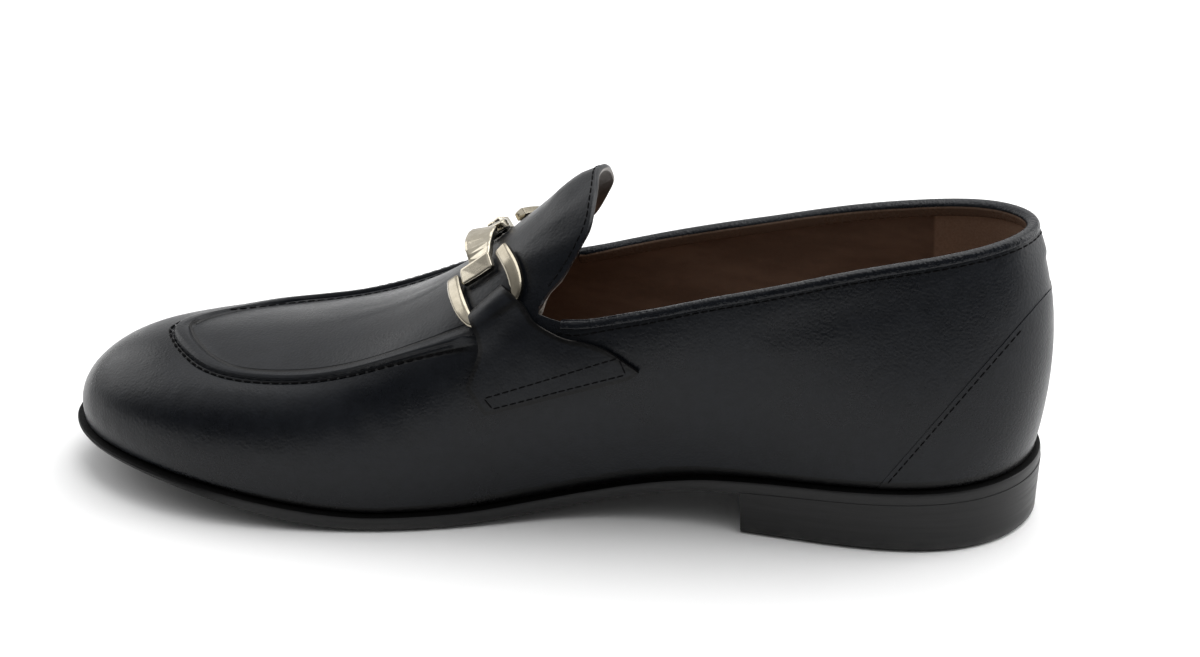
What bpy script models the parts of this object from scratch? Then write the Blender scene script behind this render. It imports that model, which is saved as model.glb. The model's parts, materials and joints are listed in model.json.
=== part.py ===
"""Buckle loafer, one right shoe, standing on heel and forefoot.

Toe towards -X, medial side towards -Y, up is +Z. Lengths in the tables are millimetres:
station runs from the back of the outsole towards the toe, medial widths are negative.
"""
from collections import namedtuple

import bmesh
import bpy
import numpy as np
from mathutils import Vector
from mathutils.bvhtree import BVHTree
from mathutils.geometry import delaunay_2d_cdt

for old in list(bpy.data.objects):
    bpy.data.objects.remove(old, do_unlink=True)

MM = 0.001

# Driving sizes
LENGTH = 300.0
FIT_GAP = 0.3
FEATHER_INSET = 2.2
UPPER_WALL = 2.0
INSOLE_THICK = 2.4
BREAST_STATION = 84.6
RIDGE_HEIGHT = 1.3
RIDGE_STEPS = (1.0, 5.2, 6.2)

# How finely the upper is divided
REAR_COLUMNS = 20
FRONT_COLUMNS = 48
COLUMNS = 2 * REAR_COLUMNS + FRONT_COLUMNS
WALL_RINGS = 9
PLUG_RINGS = 8
RINGS = WALL_RINGS + 1 + len(RIDGE_STEPS) + PLUG_RINGS

# Plan of the outsole
HEEL_BACK = (-0.9, 0.3)
TOE_TIP = (LENGTH, -4.0)
Outline = namedtuple("Outline", "station medial lateral")
OUTLINE = [
    Outline(5.2, -18.0, 18.3),
    Outline(17.4, -28.2, 28.4),
    Outline(38, -33.2, 33.4),
    Outline(62, -32.2, 34.0),
    Outline(84, -29.4, 34.6),
    Outline(110, -27.6, 36.4),
    Outline(135, -29.6, 39.8),
    Outline(160, -36.4, 44.6),
    Outline(185, -43.0, 49.0),
    Outline(205, -45.8, 50.8),
    Outline(222, -46.6, 50.4),
    Outline(240, -45.6, 46.8),
    Outline(258, -41.8, 40.0),
    Outline(274, -35.0, 31.2),
    Outline(288, -25.6, 20.4),
    Outline(296.5, -14.9, 9.2),
]

# Side profile of the outsole
Profile = namedtuple("Profile", "station under over")
PROFILE = [
    Profile(0, 16.2, 20.8),
    Profile(40, 15.0, 19.6),
    Profile(84, 13.3, 17.9),
    Profile(96, 12.4, 17.0),
    Profile(111, 9.8, 14.5),
    Profile(134, 4.9, 9.8),
    Profile(152, 1.9, 7.0),
    Profile(166, 0.3, 5.5),
    Profile(178, 0.0, 5.2),
    Profile(198, 0.0, 5.2),
    Profile(214, 1.4, 6.8),
    Profile(230, 4.4, 9.2),
    Profile(245, 7.4, 11.4),
    Profile(258, 9.6, 13.0),
    Profile(278, 11.4, 14.4),
    Profile(300, 12.4, 15.2),
]

# Instep and apron: height along the middle, how fast it falls to the sides, and where the middle lies
Crest = namedtuple("Crest", "station height fall middle")
CREST = [
    Crest(124, 103.2, 0.0300, 0.0),
    Crest(127, 102.4, 0.0300, 0.0),
    Crest(129.3, 101.7, 0.0310, 0.0),
    Crest(131, 101.0, 0.0345, 0.0),
    Crest(133.5, 99.9, 0.0370, 0.0),
    Crest(138, 97.4, 0.0350, 0.0),
    Crest(144.2, 91.7, 0.0300, 0.0),
    Crest(150.4, 86.0, 0.0245, 0.0),
    Crest(162, 75.0, 0.0165, 0.0),
    Crest(174.2, 65.2, 0.0108, -0.6),
    Crest(185.6, 57.6, 0.0070, -1.2),
    Crest(200, 52.0, 0.0066, -1.8),
    Crest(214, 48.8, 0.0072, -2.2),
    Crest(228, 46.8, 0.0075, -2.6),
    Crest(240, 45.4, 0.0078, -2.9),
    Crest(250, 44.5, 0.0095, -3.2),
    Crest(258, 43.9, 0.0120, -3.2),
    Crest(268, 43.0, 0.0140, -3.6),
]

# Apron seam in plan
APRON_TIP = (265.0, -3.7)
Apron = namedtuple("Apron", "station medial lateral")
APRON = [
    Apron(147, -33.6, 33.6),
    Apron(155, -31.4, 31.6),
    Apron(164, -30.8, 30.4),
    Apron(177, -31.0, 28.8),
    Apron(189, -31.4, 27.8),
    Apron(201, -31.6, 27.3),
    Apron(214, -31.3, 26.7),
    Apron(228, -30.2, 25.0),
    Apron(239, -28.0, 22.4),
    Apron(249, -23.4, 17.6),
    Apron(257, -16.8, 10.6),
    Apron(262.6, -10.4, 4.0),
]

# Topline from the heel to the front corners
TOP_BACK = (4.2, 0.3, 90.9)
Topline = namedtuple("Topline", "station medial medial_height lateral lateral_height")
TOPLINE = [
    Topline(8, -9.4, 90.7, 9.8, 90.3),
    Topline(17, -16.6, 89.5, 17.0, 89.2),
    Topline(29, -21.0, 87.7, 21.4, 87.3),
    Topline(42, -23.4, 85.6, 24.0, 85.0),
    Topline(55, -25.2, 83.2, 26.2, 82.3),
    Topline(69, -27.2, 80.1, 28.4, 78.8),
    Topline(82, -28.4, 77.2, 30.2, 75.3),
    Topline(96, -29.0, 74.0, 31.4, 72.0),
    Topline(110, -29.2, 70.2, 31.8, 68.7),
    Topline(122, -29.4, 67.5, 31.8, 65.7),
    Topline(131, -29.6, 65.5, 31.4, 63.4),
]
Front = namedtuple("Front", "station width height")
MEDIAL_FRONT = [Front(137.0, -29.4, 65.9)]
LATERAL_FRONT = [Front(137.0, 31.1, 61.9), Front(145.0, 30.8, 61.0)]

# Tongue edge in plan, from the front corners of the topline to the tip
TONGUE_TIP = 129.8
MEDIAL_CORNER = 146.0
LATERAL_CORNER = 153.0
Tongue = namedtuple("Tongue", "medial_station medial lateral_station lateral")
TONGUE = [
    Tongue(143.0, -28.4, 150.0, 30.2),
    Tongue(140.9, -26.4, 146.0, 28.0),
    Tongue(137.0, -24.6, 139.4, 25.2),
    Tongue(133.6, -22.4, 133.8, 22.6),
    Tongue(131.2, -21.0, 131.2, 21.0),
    Tongue(129.5, -19.6, 129.5, 19.6),
    Tongue(128.6, -15.4, 128.6, 15.4),
    Tongue(128.7, -8.5, 128.7, 8.5),
]

# Bulge of the wall: how far its lower and upper handles stand out, and where they lie
Wall = namedtuple("Wall", "station medial_low lateral_low low_rise medial_high lateral_high high_drop")
REAR_WALL = [
    Wall(0, 5.0, 5.0, 0.33, 9.2, 9.2, 0.33),
    Wall(12, 4.6, 4.6, 0.33, 7.6, 7.6, 0.33),
    Wall(28, 4.2, 4.2, 0.33, 6.0, 6.0, 0.33),
    Wall(50, 3.8, 3.8, 0.33, 5.2, 5.2, 0.33),
    Wall(84, 6.0, 4.2, 0.33, 5.6, 5.2, 0.33),
    Wall(110, 8.8, 5.0, 0.33, 6.4, 5.8, 0.33),
    Wall(135, 9.0, 4.6, 0.34, 8.0, 7.6, 0.30),
    Wall(146, 7.6, 4.0, 0.35, 8.5, 9.0, 0.28),
    Wall(175, 6.0, 3.6, 0.35, 8.5, 9.0, 0.28),
]
FRONT_WALL = [
    Wall(146, 6.5, 3.8, 0.40, 3.5, 5.5, 0.26),
    Wall(165, 5.0, 3.2, 0.42, 5.5, 7.5, 0.20),
    Wall(185, 3.8, 2.6, 0.44, 7.5, 9.5, 0.15),
    Wall(210, 3.0, 2.2, 0.45, 9.4, 11.8, 0.12),
    Wall(240, 2.6, 2.2, 0.46, 11.5, 13.5, 0.10),
    Wall(265, 2.6, 2.4, 0.47, 14.5, 15.8, 0.085),
    Wall(285, 2.7, 2.6, 0.48, 17.2, 17.6, 0.08),
    Wall(300, 2.7, 2.7, 0.48, 18.5, 18.5, 0.075),
]

# Folded tape over the topline: depth below the edge and height off the upper's outer face
MEDIAL_BINDING_END = 137.0
LATERAL_BINDING_END = 146.0
Tape = namedtuple("Tape", "depth off")
TAPE = [
    Tape(1.6, 0.3), Tape(1.6, 0.8), Tape(1.2, 1.0), Tape(0.0, 1.0), Tape(-0.9, 0.5), Tape(-1.2, -0.6),
    Tape(-1.2, -1.4), Tape(-0.9, -2.5), Tape(0.0, -3.0), Tape(3.2, -3.0), Tape(3.2, -2.3),
    Tape(-0.3, -2.3), Tape(-0.3, 0.3),
]

# Side wing, seen square to a line leaning WING_LEAN degrees: station and level around its edge
WING_LEAN = 30.0
WING_GAP = 0.5
WING_THICK = 1.4
WING_STEP = 3.2
FOLD_RISE = 3.2
FOLD_DEPTH = 4.4
Edge = namedtuple("Edge", "station level")
WING_TOP = [Edge(162.4, 43.0), Edge(153.2, 51.8), Edge(148.9, 48.9)]
MEDIAL_REAR = [
    Edge(146.0, 46.2), Edge(143.8, 42.4), Edge(139.4, 40.0), Edge(136.2, 38.6), Edge(133.4, 37.8),
    Edge(128.5, 37.4), Edge(122.0, 35.8),
]
LATERAL_REAR = [
    Edge(150.6, 45.5), Edge(153.2, 41.0), Edge(151.6, 37.0), Edge(146.0, 34.6), Edge(136.0, 34.6),
    Edge(128.5, 35.6), Edge(122.0, 34.8),
]
WING_END = [
    Edge(112.5, 30.2), Edge(114.8, 28.0), Edge(135.5, 21.9), Edge(157.7, 15.1), Edge(163.1, 22.7),
    Edge(160.8, 28.0), Edge(158.9, 32.7), Edge(158.9, 36.6), Edge(161.6, 41.4),
]

# Metal ring: open horseshoe, both tops by the barrel, bottom in the wing's fold
CLEARANCE = 0.3
Rod = namedtuple("Rod", "station width lift broad thick lean", defaults=(0.0,))
RING = [
    Rod(169.8, 11.7, 2.4, 4.4, 3.0),
    Rod(168.9, 15.2, 2.2, 4.6, 3.0),
    Rod(167.1, 19.6, 2.1, 4.6, 2.8),
    Rod(165.0, 23.6, 2.1, 4.3, 2.6),
    Rod(162.5, 26.9, 2.2, 3.4, 2.3),
    Rod(160.0, 28.5, 2.3, 2.4, 2.1),
    Rod(157.2, 28.2, 2.3, 2.0, 2.0),
    Rod(153.0, 27.1, 2.3, 2.0, 2.0),
    Rod(150.0, 26.2, 2.3, 2.4, 2.1),
    Rod(148.5, 24.8, 2.2, 3.4, 2.3),
    Rod(149.0, 22.0, 2.1, 4.3, 2.6),
    Rod(150.6, 18.9, 2.1, 4.6, 2.8),
    Rod(152.5, 15.8, 2.2, 4.6, 3.0),
    Rod(154.2, 12.8, 2.5, 4.4, 3.0),
]

# The lateral ring lies this much further forward than the medial one
LATERAL_SHIFT = 1.2

# Links of the bit: a barrel between the ring's tops and a plate from it over the middle
MEDIAL_BARREL = [
    Rod(166.9, 13.1, 2.4, 4.8, 1.6, 0.35),
    Rod(166.3, 13.1, 2.4, 5.9, 2.2, 0.35),
    Rod(162.2, 13.2, 2.4, 5.9, 2.2, 0.35),
    Rod(158.2, 13.3, 2.4, 5.9, 2.2, 0.35),
    Rod(157.6, 13.3, 2.4, 4.8, 1.6, 0.35),
]
LATERAL_BARREL = [
    Rod(168.0, 12.3, 3.0, 4.2, 4.0),
    Rod(167.4, 12.3, 3.0, 5.2, 4.8),
    Rod(164.1, 12.6, 3.0, 5.2, 4.8),
    Rod(163.6, 12.7, 3.0, 4.4, 4.2),
    Rod(163.1, 12.8, 3.2, 5.8, 5.4),
    Rod(162.1, 12.9, 3.2, 5.8, 5.4),
    Rod(161.6, 13.0, 3.0, 4.4, 4.2),
    Rod(161.1, 13.1, 3.2, 5.8, 5.4),
    Rod(160.1, 13.2, 3.2, 5.8, 5.4),
    Rod(159.6, 13.3, 3.0, 4.4, 4.2),
    Rod(158.8, 13.4, 3.0, 4.0, 3.8),
]
MEDIAL_BAR = [
    Rod(161.8, 12.4, 2.4, 7.0, 2.0, 0.0),
    Rod(161.6, 9.5, 2.9, 7.8, 2.4, 0.15),
    Rod(161.9, 6.5, 3.9, 8.2, 2.8, 0.35),
    Rod(162.1, 4.0, 4.6, 8.6, 2.8, 0.5),
    Rod(162.1, 1.5, 4.9, 8.6, 2.8, 0.5),
    Rod(161.9, -1.8, 4.9, 8.4, 2.8, 0.5),
    Rod(161.9, -2.6, 4.9, 7.4, 2.0, 0.5),
]
LATERAL_BAR = [
    Rod(162.2, 12.4, 2.4, 6.4, 2.4, 0.0),
    Rod(160.8, 9.0, 2.7, 6.6, 2.8, 0.1),
    Rod(160.0, 6.6, 2.9, 6.6, 3.0, 0.2),
    Rod(159.9, 4.6, 3.1, 6.6, 3.0, 0.2),
    Rod(160.0, 3.8, 3.1, 5.6, 2.2, 0.2),
]
ROUND = 0.45
BLOCKY = 0.25
ROD_SIDES = 8
SHARP_ANGLE = 0.7


def column(rows, name):
    """Smooth function of the station through one column of a table"""
    xs = np.array([row.station for row in rows], float)
    ys = np.array([getattr(row, name) for row in rows], float)
    slopes = np.gradient(ys, xs)

    def at(x):
        x = np.clip(np.asarray(x, float), xs[0], xs[-1])
        i = np.clip(np.searchsorted(xs, x) - 1, 0, len(xs) - 2)
        h = xs[i + 1] - xs[i]
        t = (x - xs[i]) / h
        start = ys[i] * (1 + 2 * t) * (1 - t) ** 2 + slopes[i] * h * t * (1 - t) ** 2
        end = ys[i + 1] * t * t * (3 - 2 * t) + slopes[i + 1] * h * t * t * (t - 1)
        return start + end

    return at


def spline(points, closed, steps=40):
    """Dense path of a cubic spline through the points"""
    p = np.array(points, float)
    if closed:
        p = np.vstack([p, p[:1]])
    h = np.linalg.norm(np.diff(p, axis=0), axis=1)
    n = len(p)
    a = np.zeros((n, n))
    b = np.zeros_like(p)
    for i in range(1, n - 1):
        a[i, i - 1:i + 2] = h[i - 1], 2 * (h[i - 1] + h[i]), h[i]
        b[i] = 6 * ((p[i + 1] - p[i]) / h[i] - (p[i] - p[i - 1]) / h[i - 1])
    a[0, 0] = 1
    a[-1, -1] = 1
    if closed:
        a[0, -1] = -1
        a[-1, 0] = 2 * h[0]
        a[-1, 1] = h[0]
        a[-1, -2] = h[-1]
        a[-1, -1] = 2 * h[-1]
        b[-1] = 6 * ((p[1] - p[0]) / h[0] - (p[-1] - p[-2]) / h[-1])
    m = np.linalg.solve(a, b)
    path = []
    for i in range(n - 1):
        for t in np.linspace(0, 1, steps, endpoint=False):
            u = 1 - t
            bend = (u ** 3 - u) * m[i] + (t ** 3 - t) * m[i + 1]
            path.append(u * p[i] + t * p[i + 1] + h[i] ** 2 / 6 * bend)
    path.append(p[-1])
    return np.array(path)


def along(path, fractions):
    """Places on a dense path at fractions of its length"""
    steps = np.linalg.norm(np.diff(path, axis=0), axis=1)
    length = np.concatenate([[0], np.cumsum(steps)])
    want = np.asarray(fractions) * length[-1]
    return np.stack([np.interp(want, length, path[:, k]) for k in range(path.shape[1])], axis=1)


def smoothstep(x, low, high):
    t = np.clip((np.asarray(x, float) - low) / (high - low), 0, 1)
    return t * t * (3 - 2 * t)


def unit(v):
    return v / np.maximum(np.linalg.norm(v, axis=-1, keepdims=True), 1e-9)


sole_under = column(PROFILE, "under")
sole_over = column(PROFILE, "over")
crest_height = column(CREST, "height")
crest_fall = column(CREST, "fall")
crest_middle = column(CREST, "middle")


def under(s):
    return np.maximum(sole_under(s), 0.0)


def instep(s, y):
    """Height of the plug and tongue over the floor"""
    return crest_height(s) - crest_fall(s) * (y - crest_middle(s)) ** 2


# Columns around the shoe: back of the heel, medial side, toe, lateral side
plan_path = spline(
    [HEEL_BACK]
    + [(row.station, row.medial) for row in OUTLINE]
    + [TOE_TIP]
    + [(row.station, row.lateral) for row in reversed(OUTLINE)],
    closed=True)
toe_index = int(np.argmax(plan_path[:, 0]))
corner_medial = int(np.argmin(np.abs(plan_path[:toe_index, 0] - MEDIAL_CORNER)))
corner_lateral = toe_index + int(np.argmin(np.abs(plan_path[toe_index:, 0] - LATERAL_CORNER)))
outline = np.vstack([
    along(plan_path[:corner_medial + 1], np.arange(REAR_COLUMNS) / REAR_COLUMNS),
    along(plan_path[corner_medial:toe_index + 1], np.arange(FRONT_COLUMNS // 2) / (FRONT_COLUMNS // 2)),
    along(plan_path[toe_index:corner_lateral + 1], np.arange(FRONT_COLUMNS // 2) / (FRONT_COLUMNS // 2)),
    along(plan_path[corner_lateral:], np.arange(REAR_COLUMNS) / REAR_COLUMNS),
])
tangent = unit(np.roll(outline, -1, axis=0) - np.roll(outline, 1, axis=0))
outward = np.stack([-tangent[:, 1], tangent[:, 0]], axis=1)
if np.dot(outward[0], (-1, 0)) < 0:
    outward = -outward
medial_side = np.arange(COLUMNS) < REAR_COLUMNS + FRONT_COLUMNS // 2


def inset(distance):
    return outline - outward * distance


def add_height(plan, height):
    return np.column_stack([plan, height])


def place(points):
    """Table places (station, width, height in mm) to metres in the part's frame"""
    p = np.asarray(points, float)
    return np.column_stack([LENGTH / 2 - p[:, 0], p[:, 1], p[:, 2]]) * MM


def solid(name, points, faces):
    """Closed mesh object from places and faces, with its faces outwards"""
    mesh = bpy.data.meshes.new(name)
    mesh.from_pydata([tuple(p) for p in place(points)], [], [tuple(int(i) for i in f) for f in faces])
    work = bmesh.new()
    work.from_mesh(mesh)
    bmesh.ops.recalc_face_normals(work, faces=work.faces)
    bmesh.ops.triangulate(work, faces=work.faces, quad_method="SHORT_EDGE")
    if work.calc_volume(signed=True) < 0:
        bmesh.ops.reverse_faces(work, faces=work.faces)
    work.to_mesh(mesh)
    work.free()
    made = bpy.data.objects.new(name, mesh)
    bpy.context.collection.objects.link(made)
    return made


def ring_faces(rings, columns, closed=True):
    """Quads between stacked rings of equal size"""
    faces = []
    for r in range(rings - 1):
        for c in range(columns if closed else columns - 1):
            d = (c + 1) % columns
            faces.append((r * columns + c, r * columns + d, (r + 1) * columns + d, (r + 1) * columns + c))
    return faces


def ladder_faces(ring, columns):
    """Rungs across a loop whose column c faces column columns - c"""
    first = ring * columns
    faces = [(first, first + 1, first + columns - 1)]
    for c in range(1, columns // 2 - 1):
        faces.append((first + c, first + c + 1, first + columns - c - 1, first + columns - c))
    half = columns // 2
    faces.append((first + half - 1, first + half, first + half + 1))
    return faces


def plate(name, rings):
    """Solid of stacked loops closed by rungs at both ends"""
    columns = len(rings[0])
    faces = ring_faces(len(rings), columns)
    faces += ladder_faces(0, columns)
    faces += ladder_faces(len(rings) - 1, columns)
    return solid(name, np.vstack(rings), faces)


def rim(distance, height_of, lift):
    loop = inset(distance)
    return add_height(loop, height_of(loop[:, 0]) + lift)


def build_outsole():
    """Sole plate: its lower edge is rounded in front of the heel and square over it"""
    free = smoothstep(outline[:, 0], BREAST_STATION + 1, BREAST_STATION + 14)[:, None]
    return plate("outsole", [
        rim(0.1 + 1.5 * free, under, 0.0),
        rim(0.05 + 0.45 * free, under, 0.7),
        rim(0.0, under, 2.0),
        rim(0.0, sole_over, -1.2),
        rim(0.3, sole_over, -0.4),
        rim(0.9, sole_over, 0.0),
    ])


def build_heel():
    """Columns of the sole behind the breast, closed by two breast corners"""
    keep = [c for c in range(1, COLUMNS // 2) if max(outline[c, 0], outline[-c, 0]) < BREAST_STATION - 3]
    medial = [0] + keep
    lateral = [COLUMNS - c for c in reversed(keep)]
    breast = []
    for cut in (plan_path[:toe_index], plan_path[toe_index:]):
        breast.append(cut[int(np.argmin(np.abs(cut[:, 0] - BREAST_STATION)))])
    normal = np.vstack([outward[medial], (0, -1), (0, 1), outward[lateral]])
    plan = np.vstack([outline[medial], breast, outline[lateral]])
    rings = []
    for distance, level in ((0.1, None), (0.3, 9.0), (0.7, 1.0), (1.5, 0.0)):
        loop = plan - normal * distance
        height = under(loop[:, 0]) - FIT_GAP if level is None else np.full(len(loop), level)
        rings.append(add_height(loop, height))
    columns = len(plan)
    faces = ring_faces(len(rings), columns)
    for ring in (0, len(rings) - 1):
        first = ring * columns
        faces.append((first, first + 1, first + columns - 1))
        c = 1
        while c + 1 < columns - c - 1:
            faces.append((first + c, first + c + 1, first + columns - c - 1, first + columns - c))
            c += 1
    return solid("heel", np.vstack(rings), faces)


def build_insole():
    edge = FEATHER_INSET + UPPER_WALL + 0.6
    return plate("insole", [
        rim(edge, sole_over, FIT_GAP),
        rim(edge, sole_over, FIT_GAP + INSOLE_THICK - 0.5),
        rim(edge + 0.6, sole_over, FIT_GAP + INSOLE_THICK),
    ])


# Loops of the upper: feather line, apron seam and top edge
feather = rim(FEATHER_INSET, sole_over, FIT_GAP)


def top_loop():
    """Top edge of every column: topline at the back, tongue edge in front"""
    corner_m = (TONGUE[0].medial_station, TONGUE[0].medial)
    corner_l = (TONGUE[0].lateral_station, TONGUE[0].lateral)
    medial = [(row.station, row.medial, row.medial_height) for row in TOPLINE]
    lateral = [(row.station, row.lateral, row.lateral_height) for row in TOPLINE]
    medial += [tuple(row) for row in MEDIAL_FRONT]
    lateral += [tuple(row) for row in LATERAL_FRONT]
    medial.append(corner_m + (float(instep(*corner_m)),))
    lateral.append(corner_l + (float(instep(*corner_l)),))
    path = spline(lateral[::-1] + [TOP_BACK] + medial, closed=False)
    back = 40 * len(lateral)
    rear_medial = along(path[back:], np.arange(REAR_COLUMNS) / REAR_COLUMNS)
    rear_lateral = along(path[:back + 1][::-1], np.arange(REAR_COLUMNS, 0, -1) / REAR_COLUMNS)
    plan = spline(
        [(row.medial_station, row.medial) for row in TONGUE]
        + [(TONGUE_TIP, 0.0)]
        + [(row.lateral_station, row.lateral) for row in reversed(TONGUE)],
        closed=False)
    edge = add_height(plan, instep(plan[:, 0], plan[:, 1]))
    front = along(edge, np.arange(FRONT_COLUMNS) / FRONT_COLUMNS)
    return np.vstack([rear_medial, front, rear_lateral])


top_edge = top_loop()
apron_path = spline(
    [(row.station, row.medial) for row in APRON]
    + [APRON_TIP]
    + [(row.station, row.lateral) for row in reversed(APRON)],
    closed=False)
apron_tip_index = 40 * len(APRON)
half_front = np.arange(FRONT_COLUMNS // 2) / (FRONT_COLUMNS // 2)
apron = np.vstack([
    along(apron_path[:apron_tip_index + 1], half_front),
    along(apron_path[apron_tip_index:], np.append(half_front, 1.0)),
])


def bezier(p0, p1, p2, p3, t):
    t = np.asarray(t)[:, None]
    u = 1 - t
    return u ** 3 * p0 + 3 * u * u * t * p1 + 3 * u * t * t * p2 + t ** 3 * p3


def wall_curve(table, c, end):
    """Dense bulged curve from the feather of column c up to a given end"""
    start = feather[c]
    s = start[0]
    side = "medial" if medial_side[c] else "lateral"
    low = float(column(table, side + "_low")(s))
    high = float(column(table, side + "_high")(s))
    rise = float(column(table, "low_rise")(s))
    drop = float(column(table, "high_drop")(s))
    out = np.append(outward[c], 0.0)
    climb = np.array([0.0, 0.0, end[2] - start[2]])
    return bezier(start, start + out * low + climb * rise, end + out * high - climb * drop, end,
                  np.linspace(0, 1, 60))


def front_column(c):
    """Wall, seam and plug of one column in front of the topline corners"""
    seam_plan = apron[c - REAR_COLUMNS]
    seam = np.append(seam_plan, instep(*seam_plan))
    wall = along(wall_curve(FRONT_WALL, c, seam), np.arange(WALL_RINGS + 1) / WALL_RINGS)
    line = np.linspace(0, 1, 120)[:, None]
    plan = seam_plan * (1 - line) + top_edge[c, :2] * line
    plug = add_height(plan, instep(plan[:, 0], plan[:, 1]))
    length = np.linalg.norm(np.diff(plug, axis=0), axis=1).sum()
    scale = min(1.0, length / 12.0) / length
    steps = [step * scale for step in RIDGE_STEPS]
    rest = np.linspace(steps[-1], 1.0, PLUG_RINGS + 1)[1:]
    return np.vstack([wall, along(plug, np.concatenate([steps, rest]))])


def shares(points):
    steps = np.linalg.norm(np.diff(points, axis=0), axis=1)
    return np.concatenate([[0], np.cumsum(steps)]) / steps.sum()


def build_grid():
    """Outer face of the upper without the seam ridge, ring by column"""
    first, last = REAR_COLUMNS, REAR_COLUMNS + FRONT_COLUMNS
    grid = np.zeros((RINGS, COLUMNS, 3))
    even = np.linspace(0, 1, RINGS)
    corner = {first: None, last: None}
    for c in (first, last):
        corner[c] = shares(front_column(c))
    for c in range(COLUMNS):
        medial = medial_side[c]
        away = abs(c - (first if medial else last))
        in_front = first <= c <= last
        if in_front:
            points = front_column(c)
            spread = shares(points)
            share = float(1 - smoothstep(away, 0, 3))
            if share > 0:
                whole = along(wall_curve(REAR_WALL, c, top_edge[c]), spread)
                points = points * (1 - share) + whole * share
        else:
            share = float(1 - smoothstep(away, 0, 12))
            spread = even * (1 - share) + corner[first if medial else last] * share
            points = along(wall_curve(REAR_WALL, c, top_edge[c]), spread)
        grid[:, c] = points
    return grid


def grid_normals(grid):
    """Outward directions on the ring by column grid"""
    around = np.roll(grid, -1, axis=1) - np.roll(grid, 1, axis=1)
    upward = np.gradient(grid, axis=0)
    normal = unit(np.cross(around, upward))
    out = np.zeros_like(normal[2])
    out[:, :2] = outward
    if np.sum(normal[2] * out) < 0:
        normal = -normal
    return normal


grid = build_grid()
normals = grid_normals(grid)


def outer_face():
    """Grid with the apron seam raised, fading out under the wings"""
    face = grid.copy()
    station = np.zeros(COLUMNS)
    station[REAR_COLUMNS:REAR_COLUMNS + FRONT_COLUMNS + 1] = apron[:, 0]
    raised = RIDGE_HEIGHT * smoothstep(station, 162, 168)
    for ring in (WALL_RINGS + 1, WALL_RINGS + 2):
        face[ring] += normals[ring] * raised[:, None]
    return face


outer = outer_face()
INNER_RINGS = [0, 2, 4, 6, 8, 9, 12, 14, 16, 18, RINGS - 1]


def build_upper():
    inner = (grid - normals * UPPER_WALL)[INNER_RINGS]
    points = np.vstack([outer.reshape(-1, 3), inner.reshape(-1, 3)])
    faces = ring_faces(RINGS, COLUMNS)
    shift = RINGS * COLUMNS
    for face in ring_faces(len(INNER_RINGS), COLUMNS):
        faces.append(tuple(shift + i for i in reversed(face)))
    top = (RINGS - 1) * COLUMNS
    inner_top = shift + (len(INNER_RINGS) - 1) * COLUMNS
    for c in range(COLUMNS):
        d = (c + 1) % COLUMNS
        faces.append((top + c, top + d, inner_top + d, inner_top + c))
        faces.append((d, c, shift + c, shift + d))
    return solid("upper", points, faces)


def skin(c, depth, off):
    """Place on column c at a depth below its top edge and a height off the outer face"""
    line = grid[::-1, c]
    direction = normals[::-1, c]
    steps = np.linalg.norm(np.diff(line, axis=0), axis=1)
    length = np.concatenate([[0], np.cumsum(steps)])
    reach = max(depth, 0.0)
    base = np.array([np.interp(reach, length, line[:, k]) for k in range(3)])
    normal = unit(np.array([np.interp(reach, length, direction[:, k]) for k in range(3)]))
    if depth < 0:
        base = base + unit(line[0] - line[2]) * -depth
    return base + normal * off


def build_binding():
    """Tape section swept from one front corner round the heel to the other"""
    lateral = [c for c in range(COLUMNS - REAR_COLUMNS, COLUMNS) if top_edge[c, 0] < LATERAL_BINDING_END]
    medial = [c for c in range(REAR_COLUMNS) if top_edge[c, 0] < MEDIAL_BINDING_END]
    sweep = lateral + medial
    points = [skin(c, row.depth, row.off) for c in sweep for row in TAPE]
    sides = len(TAPE)
    faces = ring_faces(len(sweep), sides)
    faces.append(tuple(range(sides)))
    faces.append(tuple(range((len(sweep) - 1) * sides, len(sweep) * sides)))
    return solid("collar_binding", points, faces)


def instep_place(s, width, side, lift):
    """Place above the instep, with the outward direction there"""
    y = width * side
    h = 0.05
    slope_s = (instep(s + h, y) - instep(s - h, y)) / (2 * h)
    slope_y = (instep(s, y + h) - instep(s, y - h)) / (2 * h)
    normal = unit(np.array([-slope_s, -slope_y, 1.0]))
    return np.array([s, y, instep(s, y)]) + normal * lift, normal


def rod(name, rows, side, corner, spare=0.0, steps=1):
    """Bar along rows that lie over the instep; corner rounds it, spare makes it fatter"""
    dense = spline([tuple(row) for row in rows], closed=False, steps=steps)
    places = []
    ups = []
    for s, width, lift, broad, thick, lean in dense:
        place_here, normal = instep_place(s, width, side, lift)
        places.append(place_here)
        ups.append(normal)
    places = np.array(places)
    ups = np.array(ups)
    ahead = unit(np.gradient(places, axis=0))
    if spare:
        places[0] -= ahead[0] * spare
        places[-1] += ahead[-1] * spare
    across = unit(np.cross(ahead, ups))
    ups = unit(np.cross(across, ahead))
    lean = side * dense[:, 5:6]
    across, ups = across * np.cos(lean) - ups * np.sin(lean), ups * np.cos(lean) + across * np.sin(lean)
    points = []
    for i in range(len(places)):
        for k in range(ROD_SIDES):
            turn = 2 * np.pi * (k + 0.5) / ROD_SIDES
            wide = np.sign(np.cos(turn)) * abs(np.cos(turn)) ** corner
            tall = np.sign(np.sin(turn)) * abs(np.sin(turn)) ** corner
            points.append(places[i] + across[i] * wide * (dense[i, 3] / 2 + spare)
                          + ups[i] * tall * (dense[i, 4] / 2 + spare))
    count = len(places)
    faces = ring_faces(count, ROD_SIDES)
    faces.append(tuple(range(ROD_SIDES)))
    faces.append(tuple(range((count - 1) * ROD_SIDES, count * ROD_SIDES)))
    return solid(name, points, faces)


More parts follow.
